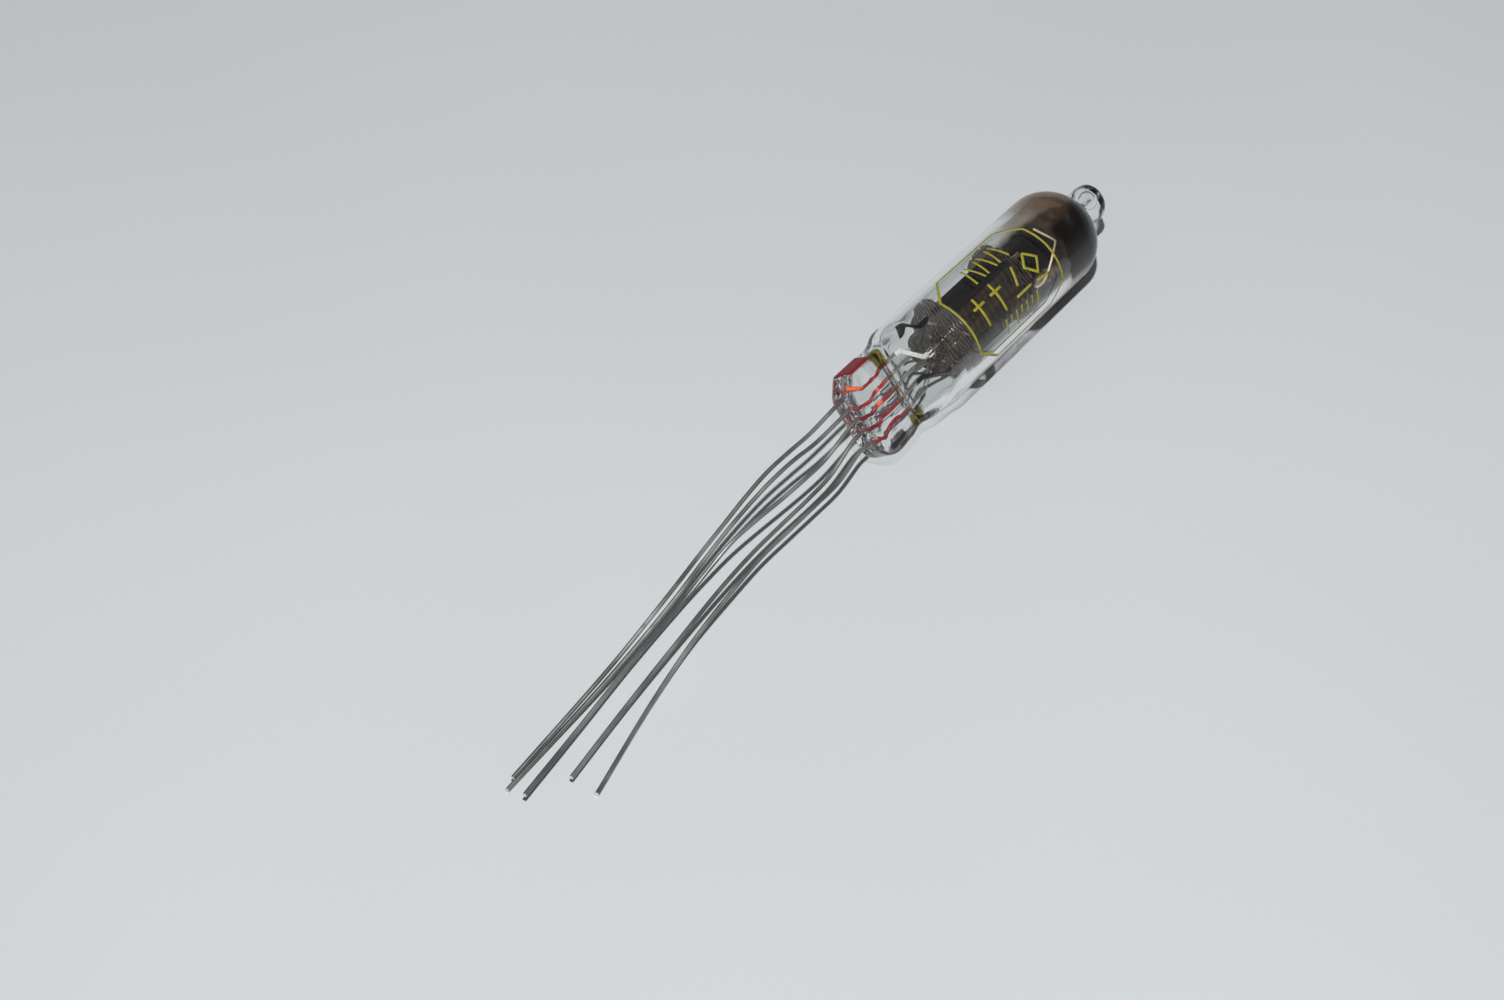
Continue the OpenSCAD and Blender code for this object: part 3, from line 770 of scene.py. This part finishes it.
class VALVE_OT_glass(bpy.types.Operator):
    """Makes the one piece of glass: bulb, shoulder, flat press and exhaust tip, with its hollow"""
    bl_idname = "valve.glass"
    bl_label = "Glass envelope"

    def execute(self, context):
        outer = lofted(spaced(*OUTER_RUNS), outer_section, 128, 0.07, 3.0)
        inner = lofted(spaced(*HOLLOW_RUNS), inner_section, 96, 0.05, 11.0)
        start_clean()
        bpy.ops.mesh.primitive_uv_sphere_add(segments=32, ring_count=20, radius=MM)
        bubble = context.object
        for vertex in bubble.data.vertices:
            x, y, z = vertex.co / MM
            swell = BUBBLE_RADIUS + BUBBLE_TAPER * x
            vertex.co = (Vector(BUBBLE_AT) + Vector((BUBBLE_REACH * x, swell * y, swell * z))) * MM
        pick(bubble, inner)
        bpy.ops.object.join()
        with editing(inner):
            bpy.ops.mesh.flip_normals()
        pick(inner, outer)
        bpy.ops.object.join()
        outer.data.transform(cage_turn())
        settle(outer, "glass_bulb")
        paint(outer, glass_finish())
        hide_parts("glass_envelope")
        return {"FINISHED"}


# Wires

# Distance past the leads' datum, offset across and height above the table, in millimetres.
# The points were picked in the photograph and brought to millimetres through its camera
LEAD_ROUTES = (
    ((5.22, 1.67, 6.3), (8.22, 1.79, 6.25), (11.22, 1.9, 6.1), (14.22, 1.91, 5.55), (17.72, 1.77, 4.85),
     (21.22, 1.38, 4.65), (27.21, 0.76, 4.05), (35.21, 0.41, 2.6), (48.66, 0.11, 0.8)),
    ((5.21, 0.97, 5.55), (8.22, 1.19, 5.6), (11.22, 1.4, 5.3), (14.22, 1.51, 4.75), (17.72, 1.42, 4.2),
     (21.22, 1.13, 3.75), (27.21, 0.76, 2.55), (35.21, 0.51, 1.25), (49.6, -0.06, 0.25)),
    ((5.2, -0.08, 3.95), (8.2, -0.01, 3.8), (11.2, 0.25, 3.55), (14.71, 0.51, 3.5), (18.21, 0.72, 3.3),
     (21.71, 0.92, 2.1), (25.21, 0.93, 1.1), (33.2, 0.14, 1), (41.99, -1.04, 1.06), (49.58, -2.01, 1.1)),
    ((5.69, -1.14, 3), (9.19, -1.13, 2.65), (13.19, -0.97, 2.35), (17.19, -1.02, 2.35), (22.19, -1.28, 2.15),
     (29.18, -1.76, 1.4), (37.17, -2.56, 0.9), (45.71, -3.76, 0.85)),
    ((5.68, -2.04, 2.6), (9.18, -2.03, 2.5), (13.18, -1.92, 2.3), (17.18, -1.87, 2.2), (22.18, -2.13, 1.75),
     (28.17, -2.55, 0.9), (35.16, -3.74, 0.35), (45.38, -6.21, 0.21)))
LEAD_ROOT = 0.7          # straight run out of the glass
LEAD_INNER = 0.9         # straight run before that
LEAD_STEP = 0.45
CUT_END = 0.16           # length of the bright sheared end
SEAL_STEP = 0.15
SEAL_RISE = 0.10         # how far a seal wire wanders through the press's thickness
SEAL_SLIM = 0.985        # a seal wire lies just inside the lead that it joins
LEADS = range(1, 6)


def lead_offset(i):
    return settings().wires.pitch * (3 - i)


def through(points, steps):
    """A smooth run through the points, by Catmull and Rom's cubic with centripetal spacing"""
    points = [Vector(p) for p in points]
    ends = [points[0] * 2 - points[1]] + points + [points[-1] * 2 - points[-2]]
    run = []
    for a, b, c, d in zip(ends, ends[1:], ends[2:], ends[3:]):
        t1 = (b - a).length ** 0.5
        t2 = t1 + (c - b).length ** 0.5
        t3 = t2 + (d - c).length ** 0.5
        count = max(2, int(round((c - b).length / steps)))
        for k in range(count):
            t = t1 + (t2 - t1) * k / count
            p1 = a.lerp(b, t / t1)
            p2 = b.lerp(c, (t - t1) / (t2 - t1))
            p3 = c.lerp(d, (t - t2) / (t3 - t2))
            q1 = p1.lerp(p2, t / t2)
            q2 = p2.lerp(p3, (t - t1) / (t3 - t1))
            run.append(q1.lerp(q2, (t - t1) / (t2 - t1)))
    return run + [points[-1]]


def wire(name, points, radius):
    """A round wire along points: a path curve, given its thickness and turned into a mesh"""
    start_clean()
    bpy.ops.curve.primitive_nurbs_path_add()
    curve = bpy.context.object.data
    curve.splines.clear()
    spline = curve.splines.new("POLY")
    spline.points.add(len(points) - 1)
    for point, place in zip(spline.points, points):
        point.co = (*place, 1.0)
    curve.dimensions = "3D"
    curve.twist_mode = "MINIMUM"
    curve.bevel_depth = radius
    curve.bevel_resolution = 4
    curve.use_fill_caps = True
    bpy.ops.object.convert(target="MESH")
    thing = bpy.context.object
    with editing(thing):
        bpy.ops.mesh.remove_doubles(threshold=1e-7)
        bpy.ops.mesh.normals_make_consistent(inside=False)
    return settle(thing, name, crease=50)


class VALVE_OT_leads(bpy.types.Operator):
    """Makes the five tinned leads as smooth bent wires along their routes"""
    bl_idname = "valve.leads"
    bl_label = "Outer leads"

    def execute(self, context):
        b, w = settings().bulb, settings().wires
        tin = tin_finish()
        # The cut ends are pale with a faint painted glow
        cut = bright_finish("Cut wire end", (0.92, 0.86, 0.80), 0.1)
        for i in LEADS:
            y = lead_offset(i)
            row = Vector((0, y * math.cos(b.roll), y * math.sin(b.roll)))
            exit_x = (LOBE_END * MM if i > 3 else -w.datum) - LEAD_ROOT * MM
            starts = (SEAL_ROUTES[i - 1][0][0] * MM, exit_x + LEAD_INNER * MM, exit_x)
            route = [Vector((x, row.y, row.z)) for x in starts]
            for past, across, height in LEAD_ROUTES[i - 1]:
                route.append(Vector((-w.datum - past * MM, across * MM, height * MM - b.radius)))
            lead = wire(f"tinned_lead_{i}", through(route, LEAD_STEP * MM), w.radius)
            paint(lead, tin)
            lead.data.materials.append(cut)
            end = min(vertex.co.x for vertex in lead.data.vertices)
            for face in lead.data.polygons:
                if face.center.x < end + CUT_END * MM:
                    face.material_index = 1
            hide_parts(f"lead_{i}")
        return {"FINISHED"}


# Where each seal wire runs inside the press, from its outer end: distance from the origin and offset
# across, in millimetres, from points picked in the same way
SEAL_ROUTES = (
    ((-21.60, 2.44), (-21.08, 2.55), (-20.56, 2.50), (-20.21, 2.26), (-19.61, 2.17), (-18.39, 2.17),
     (-17.60, 2.22), (-17.0, 2.44), (-16.2, 2.44)),
    ((-21.60, 1.22), (-21.08, 0.95), (-20.47, 0.80), (-19.95, 0.74), (-19.52, 0.95), (-18.73, 1.06),
     (-17.87, 1.06), (-17.0, 1.22), (-16.2, 1.22)),
    ((-21.60, 0.0), (-21.00, -0.17), (-20.56, -0.28), (-20.04, -0.25), (-19.69, -0.04), (-18.91, -0.03),
     (-17.87, -0.1), (-17.0, 0.0), (-16.2, 0.0)),
    ((-21.60, -1.22), (-21.17, -1.33), (-20.73, -1.46), (-20.12, -1.47), (-19.78, -1.22), (-18.91, -1.27),
     (-17.87, -1.24), (-17.0, -1.22), (-16.2, -1.22)),
    ((-21.60, -2.44), (-21.26, -2.6), (-20.73, -2.93), (-20.30, -2.80), (-19.78, -2.50), (-18.91, -2.31),
     (-18.22, -2.31), (-17.60, -2.50), (-17.0, -2.44), (-16.2, -2.44)))


class VALVE_OT_seals(bpy.types.Operator):
    """Makes the five copper-clad seal wires, kinked where the press closed on them"""
    bl_idname = "valve.seals"
    bl_label = "Seal wires"

    def execute(self, context):
        w = settings().wires
        finish = seal_finish()
        for i in LEADS:
            route = [Vector((x, y, 0.0)) * MM for x, y in SEAL_ROUTES[i - 1]]
            for k, place in enumerate(route[1:-1]):
                place.z = noise.noise(Vector((k * 0.9, i * 3.1, 0.5))) * SEAL_RISE * MM
            run = through(route, SEAL_STEP * MM)
            seal = wire(f"copper_seal_{i}", run, w.radius * SEAL_SLIM)
            seal.data.transform(cage_turn())
            paint(seal, finish)
            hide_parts(f"seal_wire_{i}")
        return {"FINISHED"}


# Electrodes

STRAP_EDGE = 0.02
STRAP_CREASE = 40


def softened(node, name):
    """A copy of a CAD node with its edges rounded as on sheared metal, in that node's place"""
    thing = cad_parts[node].copy()
    thing.data = thing.data.copy()
    for key in list(thing.keys()):
        if key.startswith("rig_"):
            del thing[key]
    thing.parent = None
    bpy.context.scene.collection.objects.link(thing)
    with editing(thing):
        bpy.ops.mesh.remove_doubles(threshold=1e-7)
        bpy.ops.mesh.tris_convert_to_quads(face_threshold=math.radians(2), shape_threshold=math.radians(180))
        bpy.ops.mesh.dissolve_limited(angle_limit=math.radians(1))
    if thing.data.has_custom_normals:
        bpy.ops.mesh.customdata_custom_splitnormals_clear()
    modifier = thing.modifiers.new("Rounded edges", "BEVEL")
    modifier.width = STRAP_EDGE * MM
    modifier.segments = 2
    modifier.limit_method = "ANGLE"
    modifier.angle_limit = math.radians(STRAP_CREASE)
    bpy.ops.object.modifier_apply(modifier=modifier.name)
    settle(thing, name, crease=STRAP_CREASE)
    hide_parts(node)
    return thing


# The welded straps by their finish
STRAPS = {
    "fired": ("anode_hook", "anode_strap"),
    "bright": ("heater_strap_1",),
    "plain": ("heater_strap_2", "cathode_strap", "grid_strap"),
}


class VALVE_OT_electrodes(bpy.types.Operator):
    """Finishes the anode, grid, cathode, heater, spacers, rods and welded straps"""
    bl_idname = "valve.electrodes"
    bl_label = "Electrode cage"

    def execute(self, context):
        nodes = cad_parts
        nickel = nickel_finish()
        copper = nickel_finish("Copper-tinted nickel", 0.9, (1.1, 0.86, 0.7))
        carbon = carbon_finish()
        finishes = {
            "fired": nickel_finish("Fire-darkened nickel", 0.16, (1.0, 0.95, 0.88)),
            # The first heater ribbon is pale and glows faintly: a painted glint
            "bright": bright_finish("Bright ribbon", (0.98, 0.96, 0.93), 0.12),
            "plain": nickel,
        }
        for look, straps in STRAPS.items():
            for strap in straps:
                name = strap.replace("strap", "ribbon").replace("hook", "tab")
                paint(softened(strap, name), finishes[look])
        for half in ("anode_front", "anode_back"):
            paint(nodes[half], carbon)
        for rod in ("anode_rod_1", "anode_rod_2", "cathode_sleeve"):
            paint(nodes[rod], nickel)
        for i in LEADS:
            paint(nodes[f"inner_lead_{i}"], nickel)
        for piece in ("grid_rod_1", "grid_rod_2", "grid_winding"):
            paint(nodes[piece], copper)
        mica = mica_finish()
        for spacer in ("top_mica", "bottom_mica"):
            paint(nodes[spacer], mica)
        paint(nodes["cathode_coating"], chalk_finish("Oxide coating", (0.86, 0.86, 0.82)))
        paint(nodes["heater"], chalk_finish("Heater insulation", (0.83, 0.81, 0.76)))
        return {"FINISHED"}


# The getter's wire, from its foot to its free end, before the cage's turn
GETTER_RISE = 0.52
GETTER_ROUTE = (
    (2.3, -2.3, 0.0), (3.4, -2.3, GETTER_RISE / 2), (4.8, -2.35, GETTER_RISE), (6.8, -2.7, GETTER_RISE),
    (10.7, -0.6, GETTER_RISE), (11.0, -0.35, GETTER_RISE), (10.85, -0.05, GETTER_RISE),
    (9.2, 2.1, GETTER_RISE))
GETTER_STEP = 0.2
GETTER_RADIUS = 0.11


class VALVE_OT_getter(bpy.types.Operator):
    """Lays the getter's film in the dome, finishes its trough and bends its smooth support wire"""
    bl_idname = "valve.getter"
    bl_label = "Getter"

    def execute(self, context):
        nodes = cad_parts
        film = lofted(spaced(*FILM_RUNS), film_section, 96)
        pick(film)
        bpy.ops.object.mode_set(mode="EDIT")
        bpy.ops.mesh.select_all(action="DESELECT")
        bpy.ops.object.mode_set(mode="OBJECT")
        for face in film.data.polygons:
            face.select = len(face.vertices) > 4
        bpy.ops.object.mode_set(mode="EDIT")
        bpy.ops.mesh.delete(type="ONLY_FACE")
        bpy.ops.object.mode_set(mode="OBJECT")
        settle(film, "getter_coat")
        paint(film, film_finish())
        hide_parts("getter_flash")
        paint(nodes["getter_trough"], fired_finish())
        route = [Vector(place) * MM for place in GETTER_ROUTE]
        bent = wire("getter_stalk", through(route, GETTER_STEP * MM), GETTER_RADIUS * MM)
        bent.data.transform(cage_turn())
        # Painted highlight: the getter wire is pale gold and glows faintly
        paint(bent, bright_finish("Bright getter wire", (0.98, 0.84, 0.58), 0.22))
        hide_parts("getter_wire")
        return {"FINISHED"}


# Print

INK_THICKNESS = 0.006    # the ink's middle is lifted by as much, so that it lies clear of the glass
PRINT_STEP = 0.25


def strip_edges(points, width, radius):
    """Pairs of flat places on both edges of a strip that runs through points of (x, angle in degrees)"""
    pairs = []
    flat = [Vector((x, math.radians(angle) * radius)) for x, angle in points]
    run = []
    for a, b in zip(flat, flat[1:]):
        count = max(1, int((b - a).length / PRINT_STEP))
        run += [a.lerp(b, k / count) for k in range(count)]
    run.append(flat[-1])
    for k, place in enumerate(run):
        before = (place - run[k - 1]).normalized() if k else (run[1] - place).normalized()
        after = (run[k + 1] - place).normalized() if k < len(run) - 1 else before
        way = (before + after).normalized()
        side = Vector((-way.y, way.x)) / max(0.5, way.dot(before)) * width / 2
        pairs.append((place + side, place - side))
    return pairs


def printed(name, strips, radius, finish):
    """Flat ink on the round glass: each strip is laid out flat and wrapped round the bulb"""
    lifted = (radius + INK_THICKNESS) * MM
    mesh = bmesh.new()
    for points, width in strips:
        rows = []
        for pair in strip_edges(points, width, radius):
            row = []
            for flat in pair:
                turn = flat.y / radius
                row.append(mesh.verts.new((flat.x * MM, lifted * math.cos(turn), lifted * math.sin(turn))))
            rows.append(row)
        for (a, b), (c, d) in zip(rows, rows[1:]):
            mesh.faces.new((a, b, d, c))
    thing = cast_in_mesh(mesh)
    with editing(thing):
        bpy.ops.mesh.normals_make_consistent(inside=False)
    thickened(thing, INK_THICKNESS, 0.0)
    settle(thing, name)
    paint(thing, finish)
    return thing


STRIPE_START = -20.9
STRIPE_LENGTH = 3.15
STRIPE_ROWS = 24
STRIPE_LEAN = 0.2
STRIPE_LIFT = 0.05
STRIPE_THICKNESS = 0.012


def side_stripe(name):
    """Paint on the press's side edge, beside the first lead, laid just over the glass"""
    across = [math.radians(a) for a in range(-40, 41, 4)]
    mesh = bmesh.new()
    rows = []
    for k in range(STRIPE_ROWS + 1):
        x = STRIPE_START + STRIPE_LENGTH * k / STRIPE_ROWS
        middle, wide, high, power = outer_section(x)
        row = []
        for angle in across:
            y, z = squircle(angle, power)
            lean = STRIPE_LEAN * z * high * ease(x, STRIPE_START, -17.5)
            place = Vector((x - lean, middle + wide * y + STRIPE_LIFT, high * z * 1.01))
            row.append(mesh.verts.new(place * MM))
        rows.append(row)
    for first, second in zip(rows, rows[1:]):
        for a, b, c, d in zip(first, first[1:], second[1:], second):
            mesh.faces.new((a, b, c, d))
    bmesh.ops.recalc_face_normals(mesh, faces=mesh.faces)
    thing = cast_in_mesh(mesh)
    thing.data.transform(cage_turn())
    thickened(thing, STRIPE_THICKNESS)
    return settle(thing, name)


# The printed frame, in distances from the origin in millimetres and angles round the bulb in degrees
FRAME_LINE = ((-5.72, 62), (3.4, 64), (5.55, 90), (5.75, 120), (5.8, 167), (3.6, 188), (-5.7, 188),
              (-8.6, 163), (-8.6, 123), (-8.6, 89), (-5.72, 62))
FRAME_WIDTH = 0.28


def mark_rows():
    """Three rows of plain strokes, crosses and a lozenge, with no letters or figures"""
    strips = []
    for k in range(6):
        x = -3.7 + k * 1.0
        lean = 0.22 if k % 2 else -0.22
        strips.append((((x - lean, 76), (x + lean, 102)), 0.26))
    for x in (-6.0, -3.2):
        strips.append((((x, 110), (x - 0.1, 146)), 0.32))
        strips.append((((x - 0.85, 121), (x + 0.95, 121)), 0.28))
    strips.append((((0.4, 113), (-0.5, 134)), 0.32))
    strips.append((((2.65, 110.5), (3.75, 124), (2.75, 138), (1.6, 124), (2.65, 110.5)), 0.30))
    strips.append((((-1.3, 143), (1.2, 143)), 0.28))
    strips.append((((2.1, 145), (4.0, 147)), 0.28))
    for k in range(7):
        x = -3.9 + k * 0.9
        strips.append((((x, 153), (x - 0.15, 153 + (9 if k % 2 else 16))), 0.24))
    return strips


class VALVE_OT_print(bpy.types.Operator):
    """Prints a plain cut-cornered frame with bars on the bulb, and the index stripe"""
    bl_idname = "valve.print"
    bl_label = "Markings"

    def execute(self, context):
        f = settings().finishes
        radius = settings().bulb.radius / MM
        ink = ink_finish("Marking ink", f.ink)
        printed("marking_frame", [(FRAME_LINE, FRAME_WIDTH)], radius, ink)
        printed("marking_bars", mark_rows(), radius, ink)
        paint(side_stripe("index_stripe"), ink_finish("Index stripe", f.stripe, dark_below=-1.5))
        return {"FINISHED"}


# Stage

SKY_TONE = (0.93, 0.97, 1.0)


def plain_sky(tree):
    """An even, low light on rough surfaces; gloss and the camera see a sky that is brighter at the horizon,
    and what is seen through the glass has a level of its own"""
    st = settings().stage
    sky = Nodes(tree)
    _, _, height = sky.axes(sky.node("TexCoord", output="Generated"))
    mirrored = sky.node(
        "MapRange", {"interpolation_type": "SMOOTHSTEP"},
        {"Value": height, "From Min": 0.02, "From Max": 0.45, "To Min": st.horizon, "To Max": st.mirrored_sky})
    seen = sky.ray("Is Camera Ray").maximum(sky.ray("Is Glossy Ray"))
    level = sky.node("Mix", None, {0: seen, 2: st.sky, 3: mirrored})
    level = sky.node("Mix", None, {0: sky.ray("Is Transmission Ray"), 2: level, 3: st.seen_sky})
    back = tree.nodes["Background"]
    sky.feed(back.inputs["Color"], SKY_TONE)
    sky.feed(back.inputs["Strength"], level)


CAMERA_AT = (-0.15617, -0.0905, 0.15422)
CAMERA_AIM = (-0.03218, 0.00447, -0.00508)
LAMP_AT = (-0.1103, -0.0583, 0.21187)
LAMP_SIZE = 0.004
TABLE_SIZE = 4.0
FILM_BACK = 36.0         # width of the camera's sensor in millimetres, which its focal length goes with


class VALVE_OT_stage(bpy.types.Operator):
    """Sets up the pale table, the small lamp beside the camera, the plain sky and the camera"""
    bl_idname = "valve.stage"
    bl_label = "Table, light and camera"

    def execute(self, context):
        scene = context.scene
        st = settings().stage
        scene.view_settings.view_transform = "Standard"
        world = bpy.data.worlds.new("Plain sky")
        scene.world = world
        world.use_nodes = True
        plain_sky(world.node_tree)
        start_clean()
        bpy.ops.mesh.primitive_plane_add(size=TABLE_SIZE, location=(0, 0, -settings().bulb.radius))
        table = context.object
        table.name = "table_top"
        paint(table, table_finish())
        bpy.ops.object.light_add(type="POINT", location=LAMP_AT)
        lamp = context.object
        lamp.name = "camera_lamp"
        lamp.data.energy = st.lamp
        lamp.data.shadow_soft_size = LAMP_SIZE
        lamp.data.use_nodes = True
        light = Nodes(lamp.data.node_tree)
        even = light.node("LightFalloff", None, {"Strength": 1.0}, output="Constant")
        light.feed(light.tree.nodes["Emission"].inputs["Strength"], even)
        bpy.ops.object.camera_add(location=CAMERA_AT)
        camera = context.object
        camera.name = "photo_camera"
        aim = Vector(CAMERA_AIM) - camera.location
        camera.rotation_euler = aim.to_track_quat("-Z", "Y").to_euler()
        camera.data.sensor_width = FILM_BACK
        camera.data.lens = st.lens
        camera.data.clip_start = 0.001
        scene.camera = camera
        return {"FINISHED"}


class VALVE_PT_panel(bpy.types.Panel):
    """Lists the valve's steps and sizes"""
    bl_idname = "VALVE_PT_panel"
    bl_label = "Subminiature Valve"
    bl_space_type = "VIEW_3D"
    bl_region_type = "UI"
    bl_category = "Valve"

    def draw(self, context):
        for operator in STEPS:
            self.layout.operator(operator.bl_idname)
        valve = context.scene.valve
        for group in (valve.bulb, valve.wires, valve.finishes, valve.stage):
            column = self.layout.column()
            for name in group.__annotations__:
                column.prop(group, name)


STEPS = (VALVE_OT_stage, VALVE_OT_glass, VALVE_OT_leads, VALVE_OT_seals, VALVE_OT_electrodes,
         VALVE_OT_getter, VALVE_OT_print)
CLASSES = (BulbSizes, WireSizes, Finishes, StageSizes, ValveSettings) + STEPS + (VALVE_PT_panel,)


def register():
    for each in CLASSES:
        bpy.utils.register_class(each)
    bpy.types.Scene.valve = bpy.props.PointerProperty(type=ValveSettings)


def unregister():
    del bpy.types.Scene.valve
    for each in reversed(CLASSES):
        bpy.utils.unregister_class(each)


def main():
    register()
    bpy.ops.valve.stage()
    bpy.ops.valve.glass()
    bpy.ops.valve.leads()
    bpy.ops.valve.seals()
    bpy.ops.valve.electrodes()
    bpy.ops.valve.getter()
    bpy.ops.valve.print()


if __name__ == "__main__":
    main()
